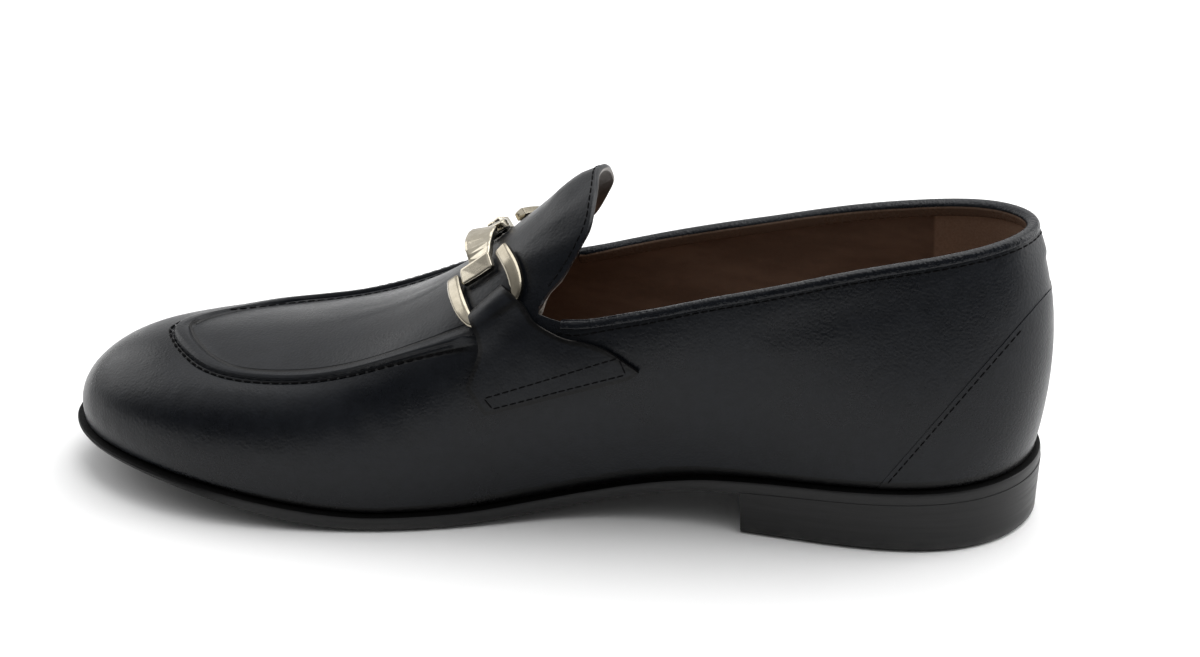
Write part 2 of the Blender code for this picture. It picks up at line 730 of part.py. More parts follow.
def combine(target, tool, operation):
    """Boolean of two solids, kept in the first; the second is removed"""
    step = target.modifiers.new("step", "BOOLEAN")
    step.operation = operation
    step.solver = "EXACT"
    step.object = tool
    bpy.context.view_layer.update()
    mesh = bpy.data.meshes.new_from_object(target.evaluated_get(bpy.context.evaluated_depsgraph_get()))
    target.modifiers.clear()
    target.data = mesh
    bpy.data.objects.remove(tool, do_unlink=True)
    return target


def wing_cloud(rear):
    """Edge and inner points of the wing's flat pattern, with its triangles"""
    corners = np.array([tuple(row) for row in WING_TOP + rear + WING_END])
    edge = []
    for i in range(len(corners)):
        a, b = corners[i], corners[(i + 1) % len(corners)]
        parts = max(1, int(round(np.linalg.norm(b - a) / WING_STEP)))
        for k in range(parts):
            edge.append(a + (b - a) * k / parts)
    edge = np.array(edge)
    inside = []
    for a in np.arange(corners[:, 0].min(), corners[:, 0].max(), WING_STEP):
        for b in np.arange(corners[:, 1].min(), corners[:, 1].max(), WING_STEP):
            spot = np.array([a, b])
            if np.min(np.linalg.norm(edge - spot, axis=1)) > 0.6 * WING_STEP and within(spot, corners):
                inside.append(spot)
    cloud = [Vector(tuple(p)) for p in np.vstack([edge, inside])]
    loop = list(range(len(edge)))
    made = delaunay_2d_cdt(cloud, [], [loop], 1, 1e-6)
    return np.array([tuple(p) for p in made[0]]), [tuple(f) for f in made[2]]


def within(spot, corners):
    """Whether a flat place lies inside a closed row of corners"""
    hit = False
    for i in range(len(corners)):
        (ax, ay), (bx, by) = corners[i - 1], corners[i]
        if (ay > spot[1]) != (by > spot[1]) and spot[0] < (bx - ax) * (spot[1] - ay) / (by - ay) + ax:
            hit = not hit
    return hit


def fold_rise(flat):
    """Extra thickness where the wing's top runs over the ring"""
    a = np.array(tuple(WING_TOP[0]))
    b = np.array(tuple(WING_TOP[1]))
    way = (b - a) / np.linalg.norm(b - a)
    depth = abs(way[0] * (flat[1] - a[1]) - way[1] * (flat[0] - a[0]))
    rise = smoothstep(depth, -1.6, FOLD_DEPTH * 0.75) * (1 - smoothstep(depth, FOLD_DEPTH, 2.6 * FOLD_DEPTH))
    return FOLD_RISE * float(rise)


def build_wing(name, side, tree):
    """Wing draped over the upper's outer face"""
    flat, triangles = wing_cloud(MEDIAL_REAR if side < 0 else LATERAL_REAR)
    lean = np.radians(WING_LEAN)
    low = []
    high = []
    for station, level in flat:
        start = Vector((station, side * 120.0, (level + 120.0 * np.sin(lean)) / np.cos(lean)))
        way = Vector((0.0, -side * np.cos(lean), -np.sin(lean)))
        spot, normal, _, _ = tree.ray_cast(start, way)
        if normal.dot(way) > 0:
            normal = -normal
        low.append(spot)
        high.append(normal)
    low = np.array([tuple(p) for p in low])
    direction = np.array([tuple(p) for p in high])
    joined = direction.copy()
    for face in triangles:
        for i in face:
            for k in face:
                joined[i] += direction[k]
    direction = unit(joined)
    rise = np.array([fold_rise(p) for p in flat])
    points = np.vstack([low + direction * WING_GAP, low + direction * (WING_GAP + WING_THICK + rise)[:, None]])
    count = len(flat)
    faces = [tuple(face) for face in triangles]
    faces += [tuple(i + count for i in reversed(face)) for face in triangles]
    edges = {}
    for face in triangles:
        for i in range(len(face)):
            a, b = face[i], face[(i + 1) % len(face)]
            edges[(a, b)] = edges.get((a, b), 0) + 1
    for a, b in edges:
        if (b, a) not in edges:
            faces.append((b, a, a + count, b + count))
    return solid(name, points, faces)


def outer_tree():
    """Search tree of the upper's outer face, in table places"""
    points = [Vector(p) for p in outer.reshape(-1, 3)]
    return BVHTree.FromPolygons(points, ring_faces(RINGS, COLUMNS))


build_outsole()
build_heel()
build_insole()
build_upper()
build_binding()
skin_tree = outer_tree()
lateral_ring = [row._replace(station=row.station + LATERAL_SHIFT) for row in RING]
SIDES = [
    ("medial", -1.0, RING, MEDIAL_BARREL, MEDIAL_BAR),
    ("lateral", 1.0, lateral_ring, LATERAL_BARREL, LATERAL_BAR),
]
for label, side, ring, barrel, bar in SIDES:
    wing = build_wing("saddle_wing_" + label, side, skin_tree)
    rod("bit_ring_" + label, ring, side, ROUND, steps=2)
    combine(wing, rod("cutter", ring, side, ROUND, CLEARANCE, steps=2), "DIFFERENCE")
    link = rod("bit_link_" + label, barrel, side, BLOCKY)
    combine(link, rod("bar", bar, side, BLOCKY, steps=2), "UNION")


Finish = namedtuple("Finish", "node red green blue metallic roughness")
FINISHES = [
    Finish("outsole", 0.012, 0.012, 0.013, 0.0, 0.45),
    Finish("heel", 0.016, 0.016, 0.016, 0.0, 0.5),
    Finish("insole", 0.16, 0.09, 0.05, 0.0, 0.7),
    Finish("upper", 0.012, 0.014, 0.019, 0.0, 0.38),
    Finish("collar_binding", 0.011, 0.013, 0.018, 0.0, 0.36),
    Finish("saddle_wing_medial", 0.012, 0.014, 0.019, 0.0, 0.4),
    Finish("saddle_wing_lateral", 0.012, 0.014, 0.019, 0.0, 0.4),
    Finish("bit_ring_medial", 0.78, 0.72, 0.62, 1.0, 0.18),
    Finish("bit_ring_lateral", 0.78, 0.72, 0.62, 1.0, 0.18),
    Finish("bit_link_medial", 0.78, 0.72, 0.62, 1.0, 0.18),
    Finish("bit_link_lateral", 0.78, 0.72, 0.62, 1.0, 0.18),
]


def dress(finish):
    """One plain material for one piece"""
    material = bpy.data.materials.new(finish.node)
    material.use_nodes = True
    shader = material.node_tree.nodes["Principled BSDF"]
    shader.inputs["Base Color"].default_value = (finish.red, finish.green, finish.blue, 1.0)
    shader.inputs["Metallic"].default_value = finish.metallic
    shader.inputs["Roughness"].default_value = finish.roughness
    mesh = bpy.data.objects[finish.node].data
    mesh.materials.clear()
    mesh.materials.append(material)
    mesh.shade_smooth()
    mesh.set_sharp_from_angle(angle=SHARP_ANGLE)


def centre():
    """Move all pieces so the part's box stands centred on the floor at the origin"""
    corners = np.array([tuple(v.co) for made in bpy.data.objects for v in made.data.vertices])
    low = corners.min(axis=0)
    high = corners.max(axis=0)
    shift = Vector((-(low[0] + high[0]) / 2, -(low[1] + high[1]) / 2, -low[2]))
    for made in bpy.data.objects:
        for v in made.data.vertices:
            v.co += shift


for finish in FINISHES:
    dress(finish)
centre()
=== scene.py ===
"""Looks of the buckle loafer, one right shoe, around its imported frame.

Toe towards -X, medial side towards -Y, up is +Z. Tables are in millimetres: station runs from
the back of the outsole towards the toe, medial widths are negative, height is over the floor.
"""
import json
import math
from collections import namedtuple

import bpy
import numpy as np
from mathutils import Matrix, Vector
from mathutils.bvhtree import BVHTree
from mathutils.kdtree import KDTree

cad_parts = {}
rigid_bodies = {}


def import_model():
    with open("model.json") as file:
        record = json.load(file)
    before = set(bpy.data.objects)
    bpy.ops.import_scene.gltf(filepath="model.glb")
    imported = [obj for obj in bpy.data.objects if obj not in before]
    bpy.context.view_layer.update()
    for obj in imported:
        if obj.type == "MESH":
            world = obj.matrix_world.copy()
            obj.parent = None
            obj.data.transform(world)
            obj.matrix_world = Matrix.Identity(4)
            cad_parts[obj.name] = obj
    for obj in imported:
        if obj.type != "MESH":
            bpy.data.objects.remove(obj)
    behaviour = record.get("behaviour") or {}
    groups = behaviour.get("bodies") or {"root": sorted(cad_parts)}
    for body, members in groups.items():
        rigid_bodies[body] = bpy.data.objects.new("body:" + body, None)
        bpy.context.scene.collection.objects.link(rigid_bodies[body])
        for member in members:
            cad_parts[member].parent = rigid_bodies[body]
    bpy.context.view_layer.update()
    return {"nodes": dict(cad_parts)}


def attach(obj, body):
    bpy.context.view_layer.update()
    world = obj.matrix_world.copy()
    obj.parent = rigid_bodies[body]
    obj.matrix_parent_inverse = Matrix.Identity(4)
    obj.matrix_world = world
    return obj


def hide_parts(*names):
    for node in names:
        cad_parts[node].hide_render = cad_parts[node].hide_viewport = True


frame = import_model()

MM = 0.001
SIDES = (("medial", -1.0), ("lateral", 1.0))
DOWN = Vector((0.0, 0.0, -1.0))

# Camera, as the shoe is photographed
CAMERA_STATION = 10.1
CAMERA_WIDTH = -564.1
CAMERA_HEIGHT = 336.9
CAMERA_YAW = -12.06
CAMERA_PITCH = 26.46
CAMERA_ROLL = -2.02
CAMERA_LENS = 64.65
CAMERA_SENSOR = 36.0

# Where the shoe's tables start in the row frame, and the width of the outsole's hindmost vertex
TOE_STATION = 300.0
BACK_WIDTH = 0.3
sole_points = np.array([v.co for v in frame["nodes"]["outsole"].data.vertices])
BACK_X = float(sole_points[:, 0].min()) + TOE_STATION * MM
MIDDLE_Y = float(sole_points[sole_points[:, 0].argmax(), 1]) - BACK_WIDTH * MM


def spot(station, width, height=0.0):
    """A table place in metres in the row frame"""
    return Vector((BACK_X - station * MM, MIDDLE_Y + width * MM, height * MM))


def station_of(x):
    """Station, in millimetres, of an X in the row frame"""
    return (BACK_X - x) / MM


def vertex_places(piece):
    return np.array([v.co for v in piece.data.vertices])


def pick(piece):
    """Select this piece alone and make it active"""
    if bpy.context.object and bpy.context.object.mode != "OBJECT":
        bpy.ops.object.mode_set(mode="OBJECT")
    bpy.ops.object.select_all(action="DESELECT")
    piece.select_set(True)
    bpy.context.view_layer.objects.active = piece


def open_edit(piece, kind, action="DESELECT"):
    pick(piece)
    bpy.ops.object.mode_set(mode="EDIT")
    bpy.ops.mesh.select_mode(type=kind)
    bpy.ops.mesh.select_all(action=action)


def close_edit():
    bpy.ops.object.mode_set(mode="OBJECT")


def choose(piece, kind, rule):
    """Open a piece with only those faces or vertices selected that the rule takes"""
    open_edit(piece, kind)
    close_edit()
    for item in piece.data.polygons if kind == "FACE" else piece.data.vertices:
        item.select = rule(item)
    bpy.ops.object.mode_set(mode="EDIT")


def finish_step(piece, kind, **settings):
    """Add one modifier and apply it"""
    pick(piece)
    step = piece.modifiers.new("step", kind)
    for name, value in settings.items():
        setattr(step, name, value)
    bpy.ops.object.modifier_apply(modifier=step.name)


def refine(piece, levels):
    finish_step(piece, "SUBSURF", levels=levels, render_levels=levels)


# Vertices nearer than this, in millimetres, become one
MERGE = 0.005


def node_copy(node, name, merge=MERGE):
    """A solid's mesh as a piece of its own, merged and in quads"""
    mesh = frame["nodes"][node].data.copy()
    mesh.name = name
    mesh.materials.clear()
    piece = bpy.data.objects.new(name, mesh)
    bpy.context.scene.collection.objects.link(piece)
    open_edit(piece, "VERT", "SELECT")
    bpy.ops.mesh.customdata_custom_splitnormals_clear()
    bpy.ops.mesh.remove_doubles(threshold=merge * MM)
    bpy.ops.mesh.mark_sharp(clear=True)
    bpy.ops.mesh.tris_convert_to_quads(face_threshold=math.pi, shape_threshold=math.pi)
    close_edit()
    return piece


def join_pairs(piece):
    """Take out vertices that only two faces share, so that each pair becomes one face"""
    edges = np.zeros(len(piece.data.vertices), int)
    for edge in piece.data.edges:
        edges[list(edge.vertices)] += 1
    choose(piece, "VERT", lambda v: bool(edges[v.index] == 2))
    bpy.ops.mesh.dissolve_verts()
    close_edit()


def keep_main(piece):
    """Drop specks that aren't joined to the piece's highest vertex"""
    highest = max(piece.data.vertices, key=lambda v: v.co.z).index
    choose(piece, "VERT", lambda v: v.index == highest)
    bpy.ops.mesh.select_linked()
    bpy.ops.mesh.select_all(action="INVERT")
    bpy.ops.mesh.delete(type="VERT")
    close_edit()


def crease_sharp(piece, degrees, amount):
    """Keep edges that bend more than this angle firm under subdivision"""
    open_edit(piece, "EDGE")
    bpy.ops.mesh.edges_select_sharp(sharpness=math.radians(degrees))
    bpy.ops.transform.edge_crease(value=amount)
    close_edit()


def smooth(piece, degrees):
    pick(piece)
    bpy.ops.object.shade_smooth_by_angle(angle=math.radians(degrees))


def store(piece, name, values):
    """Keep one value for each vertex"""
    layer = piece.data.attributes.new(name, "FLOAT", "POINT")
    layer.data.foreach_set("value", np.asarray(values, np.float32))


def polygon_tree(piece):
    """Search tree whose hits give the piece's own face numbers"""
    mesh = piece.data
    faces = [tuple(face.vertices) for face in mesh.polygons]
    return BVHTree.FromPolygons([v.co for v in mesh.vertices], faces)


def place_tree(places):
    """Search tree for the nearest of some places"""
    tree = KDTree(len(places))
    for i, place in enumerate(places):
        tree.insert(place, i)
    tree.balance()
    return tree


def row_distance(points, row):
    """Distance of each point from a row of places"""
    near = np.full(len(points), np.inf)
    for a, b in zip(row[:-1], row[1:]):
        way = b - a
        share = np.clip(((points - a) @ way) / (way @ way), 0, 1)
        near = np.minimum(near, np.linalg.norm(points - a - share[:, None] * way, axis=1))
    return near


def soft_path(places, steps=12):
    """Rounded row of places through a table's places"""
    p = [Vector(place) for place in places]
    p = [p[0] * 2 - p[1]] + p + [p[-1] * 2 - p[-2]]
    path = []
    for i in range(1, len(p) - 2):
        for k in range(steps):
            t = k / steps
            path.append(0.5 * (2 * p[i] + (p[i + 1] - p[i - 1]) * t
                               + (2 * p[i - 1] - 5 * p[i] + 4 * p[i + 1] - p[i + 2]) * t * t
                               + (3 * p[i] - p[i - 1] - 3 * p[i + 1] + p[i + 2]) * t ** 3))
    path.append(p[-2])
    return path


def give(piece, *finishes):
    """Material slots of a piece, in order"""
    piece.data.materials.clear()
    for finish in finishes:
        piece.data.materials.append(finish)


def place_piece(piece, slot, *nodes):
    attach(piece, "root")
    if nodes:
        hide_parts(*nodes)


# Materials
# Colour sockets of a mix node
MIX_A = 6
MIX_B = 7
MIX_RESULT = 2


class Recipe:
    """Node tree of one procedural material on Object coordinates"""

    def __init__(self, name):
        self.material = bpy.data.materials.new(name)
        self.material.use_nodes = True
        self.nodes = self.material.node_tree.nodes
        self.links = self.material.node_tree.links
        self.shader = self.nodes["Principled BSDF"]
        self.coords = self.nodes.new("ShaderNodeTexCoord").outputs["Object"]

    def feed(self, socket, value):
        if isinstance(value, bpy.types.NodeSocket):
            self.links.new(value, socket)
        else:
            socket.default_value = value

    def stretch(self, scale, turn=(0.0, 0.0, 0.0)):
        step = self.nodes.new("ShaderNodeMapping")
        step.inputs["Scale"].default_value = scale
        step.inputs["Rotation"].default_value = turn
        self.links.new(self.coords, step.inputs["Vector"])
        return step.outputs["Vector"]

    def cloud(self, size, detail=3.0, rough=0.55, at=None):
        """Soft noise with features of this size in millimetres"""
        step = self.nodes.new("ShaderNodeTexNoise")
        step.inputs["Scale"].default_value = 1.0 / (size * MM)
        step.inputs["Detail"].default_value = detail
        step.inputs["Roughness"].default_value = rough
        self.links.new(at or self.coords, step.inputs["Vector"])
        return step.outputs["Fac"]

    def pores(self, size):
        """Cells of this size in millimetres, high between their middles"""
        step = self.nodes.new("ShaderNodeTexVoronoi")
        step.feature = "SMOOTH_F1"
        step.inputs["Scale"].default_value = 1.0 / (size * MM)
        self.links.new(self.coords, step.inputs["Vector"])
        return step.outputs["Distance"]

    def axis(self, letter):
        step = self.nodes.new("ShaderNodeSeparateXYZ")
        self.links.new(self.coords, step.inputs["Vector"])
        return step.outputs[letter]

    def span(self, value, low, high, out_low=0.0, out_high=1.0):
        step = self.nodes.new("ShaderNodeMapRange")
        step.interpolation_type = "SMOOTHSTEP"
        step.inputs["From Min"].default_value = low
        step.inputs["From Max"].default_value = high
        step.inputs["To Min"].default_value = out_low
        step.inputs["To Max"].default_value = out_high
        self.links.new(value, step.inputs["Value"])
        return step.outputs["Result"]

    def along(self, start, end, out_low=0.0, out_high=1.0):
        """Change from one station of the shoe to another"""
        return self.span(self.axis("X"), BACK_X - start * MM, BACK_X - end * MM, out_low, out_high)

    def sum(self, kind, a, b):
        step = self.nodes.new("ShaderNodeMath")
        step.operation = kind
        self.feed(step.inputs[0], a)
        self.feed(step.inputs[1], b)
        return step.outputs["Value"]

    def mingle(self, a, a_share, b, b_share):
        """Two values added, each by its share"""
        return self.sum("ADD", self.sum("MULTIPLY", a, a_share), self.sum("MULTIPLY", b, b_share))

    def blend(self, share, a, b):
        step = self.nodes.new("ShaderNodeMix")
        step.data_type = "RGBA"
        self.feed(step.inputs["Factor"], share)
        self.feed(step.inputs[MIX_A], a)
        self.feed(step.inputs[MIX_B], b)
        return step.outputs[MIX_RESULT]

    def stripe(self, value, middle, half, soft):
        """One within a stripe of the value, nought outside it"""
        off = self.sum("ABSOLUTE", self.sum("SUBTRACT", value, middle), 0.0)
        return self.span(off, half + soft, half)

    def attribute(self, name):
        step = self.nodes.new("ShaderNodeAttribute")
        step.attribute_name = name
        return step.outputs["Fac"]

    def relief(self, height, strength, depth, under=None):
        """Bump of this depth in millimetres, over another one if there is one"""
        step = self.nodes.new("ShaderNodeBump")
        step.inputs["Strength"].default_value = strength
        step.inputs["Distance"].default_value = depth * MM
        self.links.new(height, step.inputs["Height"])
        if under:
            self.links.new(under, step.inputs["Normal"])
        return step.outputs["Normal"]

    def set(self, **inputs):
        for name, value in inputs.items():
            self.feed(self.shader.inputs[name.replace("_", " ")], value)
        return self.material


def rgb(red, green, blue):
    return (red, green, blue, 1.0)


BLACK = rgb(0.0010, 0.0010, 0.0012)
CALF_DEEP = rgb(0.0032, 0.0040, 0.0057)
CALF_LIT = rgb(0.0064, 0.0076, 0.0102)
# Range that most of a soft noise lies in
NOISE = (0.3, 0.7)
# The apron's rolled edge is broadest round the toe: stations of the change, and the sides' share
ROLL_CHANGE = (232.0, 260.0)
ROLL_SIDES = 1.4
# Painted shade in the grooves of the apron seam, in millimetres inside its stitch row: middle, half width,
# softness, share
SEAM_SHADE_LINES = [(0.0, 0.22, 0.55, 0.9), (6.4, 0.32, 0.55, 1.0)]
# The roll between them: middle, half width, softness
ROLL_PROFILE = (3.2, 0.6, 2.4)
# Stations between which seam and roll begin
SEAM_BACK = (158.0, 165.0)
# Painted shade along the border of the wings: full and faded out at these distances in millimetres
BORDER_SHADE = (0.80, 1.60)
# Dark band of the upper along the sole, painted shade of the crease there and partly black edge ink: shares
# at which it starts and is full
SOLE_SHADE_FADE = (0.05, 0.22)
# Inside of the binding: drops below its top, in millimetres, where a pale cut edge and then lining begin
FOLD_EDGE = (1.9, 2.2)
FOLD_EDGE_TONE = rgb(0.22, 0.155, 0.115)
FOLD_LINING = (2.5, 2.8)
FOLD_LINING_TONE = rgb(0.13, 0.085, 0.06)


def seam_shade_share(make):
    """Painted shade along the apron seam's grooves in front of the bit, and the roll between them"""
    roll = make.along(*ROLL_CHANGE, ROLL_SIDES, 1.0)
    inside = make.sum("MULTIPLY", make.attribute("apron"), roll)
    share = None
    for middle, half, soft, much in SEAM_SHADE_LINES:
        line = make.sum("MULTIPLY", make.stripe(inside, middle, half, soft), much)
        share = make.sum("MAXIMUM", share, line) if share else line
    fore = make.along(*SEAM_BACK)
    rise = make.sum("MULTIPLY", make.stripe(inside, *ROLL_PROFILE), fore)
    return make.sum("MULTIPLY", share, fore), rise


def calf_finish(name, deep, lit, gloss, grain=0.36, seams=False, border=False, fold=False):
    """Smooth satin calf: fine pores, faint mottling, uneven polish"""
    make = Recipe(name)
    mottle = make.cloud(size=34.0, detail=4.0)
    fine = make.cloud(size=3.2, detail=5.0, rough=0.6)
    pores = make.pores(size=0.75)
    soft = make.cloud(size=1.2, detail=3.0, rough=0.6)
    skin = make.mingle(pores, 0.6, soft, 0.5)
    bend = make.relief(make.cloud(size=9.0, detail=3.0), strength=0.12, depth=0.6)
    rub = make.sum("ADD", mottle, make.sum("MULTIPLY", pores, 0.25))
    polish = make.span(rub, 0.4, 0.8, out_low=gloss - 0.05, out_high=gloss + 0.08)
    tone = make.blend(make.span(make.mingle(mottle, 0.6, fine, 0.4), 0.38, 0.64), deep, lit)
    if seams:
        line, rise = seam_shade_share(make)
        # Painted shade: the apron seam's grooves darkened to black
        tone = make.blend(line, tone, BLACK)
        # Painted shade along the sole, partly black edge ink
        tone = make.blend(make.span(make.attribute("band"), *SOLE_SHADE_FADE), tone, BLACK)
        bend = make.relief(make.sum("SUBTRACT", 1.0, line), strength=0.5, depth=0.35, under=bend)
        bend = make.relief(rise, strength=0.6, depth=0.8, under=bend)
    if fold:
        inside = make.attribute("fold")
        tone = make.blend(make.span(inside, *FOLD_EDGE), tone, FOLD_EDGE_TONE)
        tone = make.blend(make.span(inside, *FOLD_LINING), tone, FOLD_LINING_TONE)
    if border:
        # Painted shade: the wing's border darkened to black
        full, faded = BORDER_SHADE
        tone = make.blend(make.span(make.attribute("border"), faded, full), tone, BLACK)
    return make.set(
        Base_Color=tone, Roughness=polish,
        Normal=make.relief(skin, strength=grain, depth=0.24, under=bend),
        Specular_IOR_Level=0.22)


# Front of the heel grip, and where the lining darkens in the tongue's tip: stations and heights
GRIP_FRONT = (34.4, 33.4)
TIP_STATIONS = (112.0, 118.0)
TIP_HEIGHTS = (76.0, 88.0)


def lining_finish():
    """Brown vegetable-tanned lining, paler suede grip round the heel"""
    make = Recipe("lining_leather")
    streak = make.cloud(size=14.0, detail=5.0, rough=0.6, at=make.stretch((0.6, 0.6, 1.6)))
    nap = make.cloud(size=0.7, detail=4.0, rough=0.7)
    plain = make.blend(make.span(streak, 0.35, 0.7), rgb(0.145, 0.090, 0.062), rgb(0.21, 0.137, 0.098))
    suede = make.blend(make.span(nap, *NOISE), rgb(0.27, 0.180, 0.130), rgb(0.36, 0.25, 0.185))
    high = make.span(make.axis("Z"), TIP_HEIGHTS[0] * MM, TIP_HEIGHTS[1] * MM)
    tip = make.sum("MULTIPLY", make.along(*TIP_STATIONS), high)
    plain = make.blend(tip, plain, rgb(0.060, 0.050, 0.043))
    return make.set(
        Base_Color=make.blend(make.along(*GRIP_FRONT), plain, suede),
        Roughness=make.span(nap, *NOISE, out_low=0.55, out_high=0.75),
        Normal=make.relief(nap, strength=0.25, depth=0.15))


# Length over which a pale stretch of cut edge fades out
PALE_FADE = 3.0


def cut_edge_finish(name, deep, lit, gloss, pale_from=0.0, pale_to=0.0):
    """Raw cut edge of the leather, paler between two stations"""
    make = Recipe(name)
    fibre = make.cloud(size=0.8, detail=4.0, rough=0.7)
    tone = make.blend(make.span(fibre, *NOISE), deep, lit)
    if pale_to:
        start = make.along(pale_from - PALE_FADE, pale_from)
        end = make.along(pale_to + PALE_FADE, pale_to)
        tone = make.blend(make.sum("MULTIPLY", start, end), tone, rgb(0.036, 0.034, 0.032))
    return make.set(
        Base_Color=tone, Roughness=make.span(fibre, *NOISE, out_low=0.5, out_high=0.75),
        Normal=make.relief(fibre, strength=0.3, depth=0.15), Specular_IOR_Level=gloss)


# Share of the way to the inner side at which the lining's edge begins
LINING_EDGE = (0.66, 0.80)


def tongue_edge_finish():
    """Leather turned over the tongue's rim, with the lining's pale edge along its inner side"""
    make = Recipe("tongue_edge")
    fibre = make.cloud(size=0.8, detail=4.0, rough=0.7)
    black = make.blend(make.span(fibre, *NOISE), CALF_DEEP, CALF_LIT)
    raw = make.blend(make.span(fibre, *NOISE), rgb(0.13, 0.116, 0.10), rgb(0.27, 0.245, 0.22))
    return make.set(
        Base_Color=make.blend(make.span(make.attribute("inner"), *LINING_EDGE), black, raw),
        Roughness=make.span(fibre, *NOISE, out_low=0.28, out_high=0.42),
        Normal=make.relief(fibre, strength=0.35, depth=0.15), Specular_IOR_Level=0.3)


# The sole's edge turns black towards the toe between these stations, and is palest at this height
TOE_BLACK = (226.0, 250.0)
RIM_FOOT = 0.3


def sole_finish(name, deep, lit, rim):
    """Black burnished edge with fine scrapes along it and a paler lower rim"""
    make = Recipe(name)
    scrape = make.cloud(size=2.4, detail=5.0, rough=0.65, at=make.stretch((0.10, 0.10, 1.9)))
    dust = make.cloud(size=7.0, detail=4.0, rough=0.6)
    worn = make.span(make.axis("Z"), rim * MM, RIM_FOOT * MM)
    toe = make.along(*TOE_BLACK)
    tone = make.blend(make.span(scrape, 0.35, 0.72), deep, lit)
    tone = make.blend(toe, tone, BLACK)
    wear = make.sum("MULTIPLY", worn, make.span(dust, 0.35, 0.7))
    return make.set(
        Base_Color=make.blend(wear, tone, rgb(0.022, 0.0215, 0.021)),
        Roughness=make.span(scrape, 0.3, 0.75, out_low=0.34, out_high=0.50),
        Normal=make.relief(scrape, strength=0.22, depth=0.2),
        Specular_IOR_Level=make.span(toe, 0.0, 1.0, out_low=0.30, out_high=0.14))


def metal_finish(name, deep, lit):
    """Polished pale champagne metal with hairline wear"""
    make = Recipe(name)
    hair = make.cloud(size=0.5, detail=4.0, rough=0.6, at=make.stretch((0.25, 1.0, 1.0), (0.3, 0.2, 0.6)))
    film = make.cloud(size=4.0, detail=3.0)
    return make.set(
        Base_Color=make.blend(make.span(film, 0.35, 0.65), deep, lit),
        Metallic=1.0,
        Roughness=make.span(hair, 0.35, 0.7, out_low=0.13, out_high=0.19),
        Normal=make.relief(hair, strength=0.02, depth=0.05))


def thread_finish():
    """Waxed black thread, twisted"""
    make = Recipe("thread")
    twist = make.cloud(size=0.35, detail=2.0, rough=0.5)
    tone = make.blend(make.span(twist, *NOISE), rgb(0.0008, 0.0008, 0.001), rgb(0.003, 0.003, 0.0035))
    return make.set(
        Base_Color=tone, Roughness=0.8,
        Normal=make.relief(twist, strength=0.3, depth=0.1), Specular_IOR_Level=0.08)


def sock_finish():
    """Brown sock over the insole, lightly rubbed"""
    make = Recipe("sock_leather")
    rub = make.cloud(size=26.0, detail=4.0)
    return make.set(
        Base_Color=make.blend(make.span(rub, 0.35, 0.7), rgb(0.15, 0.082, 0.05), rgb(0.24, 0.14, 0.09)),
        Roughness=make.span(rub, *NOISE, out_low=0.45, out_high=0.6),
        Normal=make.relief(make.pores(size=0.7), strength=0.2, depth=0.12))


calf = calf_finish("calf_leather", CALF_DEEP, CALF_LIT, gloss=0.31, seams=True)
wing_calf = calf_finish("wing_leather", CALF_DEEP, CALF_LIT, gloss=0.36, border=True)
binding_calf = calf_finish("binding_leather", CALF_DEEP, CALF_LIT, gloss=0.24, grain=1.0, fold=True)
lining = lining_finish()
tongue_edge = tongue_edge_finish()
# Near black wing edge: painted shade along the wings' cut edge, paler between two stations
wing_edge = cut_edge_finish(
    "wing_edge", rgb(0.0010, 0.0010, 0.0011), rgb(0.0024, 0.0024, 0.0026), gloss=0.06,
    pale_from=133.0, pale_to=140.0)
sole_edge = sole_finish("sole_edge", rgb(0.0052, 0.0052, 0.0055), rgb(0.0125, 0.0125, 0.0129), rim=4.0)
heel_edge = sole_finish("heel_stack", rgb(0.0038, 0.0038, 0.0040), rgb(0.0095, 0.0095, 0.0098), rim=5.0)
# Near black outsole top: edge ink, and painted shade of the ledge under the upper
welt_top = cut_edge_finish("welt_top", rgb(0.0008, 0.0008, 0.0009), rgb(0.002, 0.002, 0.002), gloss=0.08)
# One metal in two copies: darker on the rings for painted shade, paler on the links for painted light
ring_metal_shaded = metal_finish("ring_metal_shaded", rgb(0.29, 0.262, 0.205), rgb(0.35, 0.317, 0.252))
link_metal_lit = metal_finish("link_metal_lit", rgb(0.40, 0.365, 0.293), rgb(0.47, 0.43, 0.35))
thread = thread_finish()
sock = sock_finish()

# Upper: one shell, leather outside, lining inside, turned edge on the tongue's rim
UPPER_SHARP = 32
UPPER_FIRM = 0.72
UPPER_LEVELS = 2
UPPER_SMOOTH = 38
OUTSIDE, INSIDE, RIM = range(3)
RIM_ANGLE = 55
INNER_PLACE = (70.0, 0.0, 50.0)
# The tongue's rim lies between these stations, above this height
TONGUE_RIM = (126.0, 152.0, 64.0)


def line_shell(piece):
    """Lining on all that a place inside reaches short of the rim, turned edge on the tongue's rim"""
    tree = polygon_tree(piece)
    seed = tree.ray_cast(spot(*INNER_PLACE), Vector((0.0, -1.0, 0.0)))[2]
    open_edit(piece, "EDGE")
    bpy.ops.mesh.edges_select_sharp(sharpness=math.radians(RIM_ANGLE))
    bpy.ops.mesh.mark_seam()
    close_edit()
    choose(piece, "FACE", lambda face: face.index == seed)
    bpy.ops.mesh.select_linked(delimit={"SEAM"})
    close_edit()
    inner = [face.index for face in piece.data.polygons if face.select]
    bpy.ops.object.mode_set(mode="EDIT")
    bpy.ops.mesh.select_more()
    bpy.ops.mesh.mark_seam(clear=True)
    close_edit()
    back, front, low = TONGUE_RIM
    for face in piece.data.polygons:
        on_tongue = back < station_of(face.center.x) < front and face.center.z > low * MM
        face.material_index = RIM if face.select and on_tongue else OUTSIDE
    side = np.zeros(len(piece.data.vertices))
    for index in inner:
        piece.data.polygons[index].material_index = INSIDE
        side[list(piece.data.polygons[index].vertices)] = 1.0
    store(piece, "inner", side)


